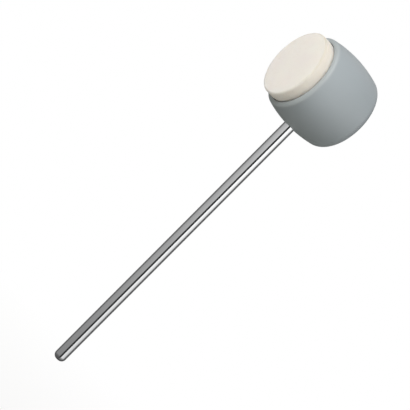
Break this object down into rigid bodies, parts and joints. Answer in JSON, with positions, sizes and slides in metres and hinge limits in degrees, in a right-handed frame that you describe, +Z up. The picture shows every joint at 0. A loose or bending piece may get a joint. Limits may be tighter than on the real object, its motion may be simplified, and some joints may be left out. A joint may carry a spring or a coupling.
{
  "type": "bass drum beater",
  "caption": "Bass drum beater: a straight plated rod carrying a barrel-shaped moulded head, with a round pressed felt pad on the strike face. The rod is clamped in a drum pedal.",
  "frame": {"origin": "on the rod's axis, where the rounded lower end gives way to the straight wall", "axes": "+Z up the rod towards the head, -Y the way the strike face looks, +X to the right when facing the strike face"},
  "size_m": [0.058, 0.0518, 0.258],
  "materials": {
    "plated_rod": "polished",
    "shell_plastic": "satin",
    "core_plastic": "matte",
    "sleeve_metal": "satin",
    "fastener_steel": "satin",
    "adhesive": "satin",
    "pressed_felt": "matte"
  },
  "bodies": {
    "root": {"beater_rod": "plated_rod", "head_shell": "shell_plastic", "head_core": "core_plastic", "rod_bush": "sleeve_metal", "flat_washer": "fastener_steel", "lock_washer": "fastener_steel", "rod_nut": "fastener_steel", "pad_carrier": "core_plastic", "carrier_screws": "fastener_steel", "pad_adhesive": "adhesive", "felt_pad": "pressed_felt"}
  },
  "joints": []
}
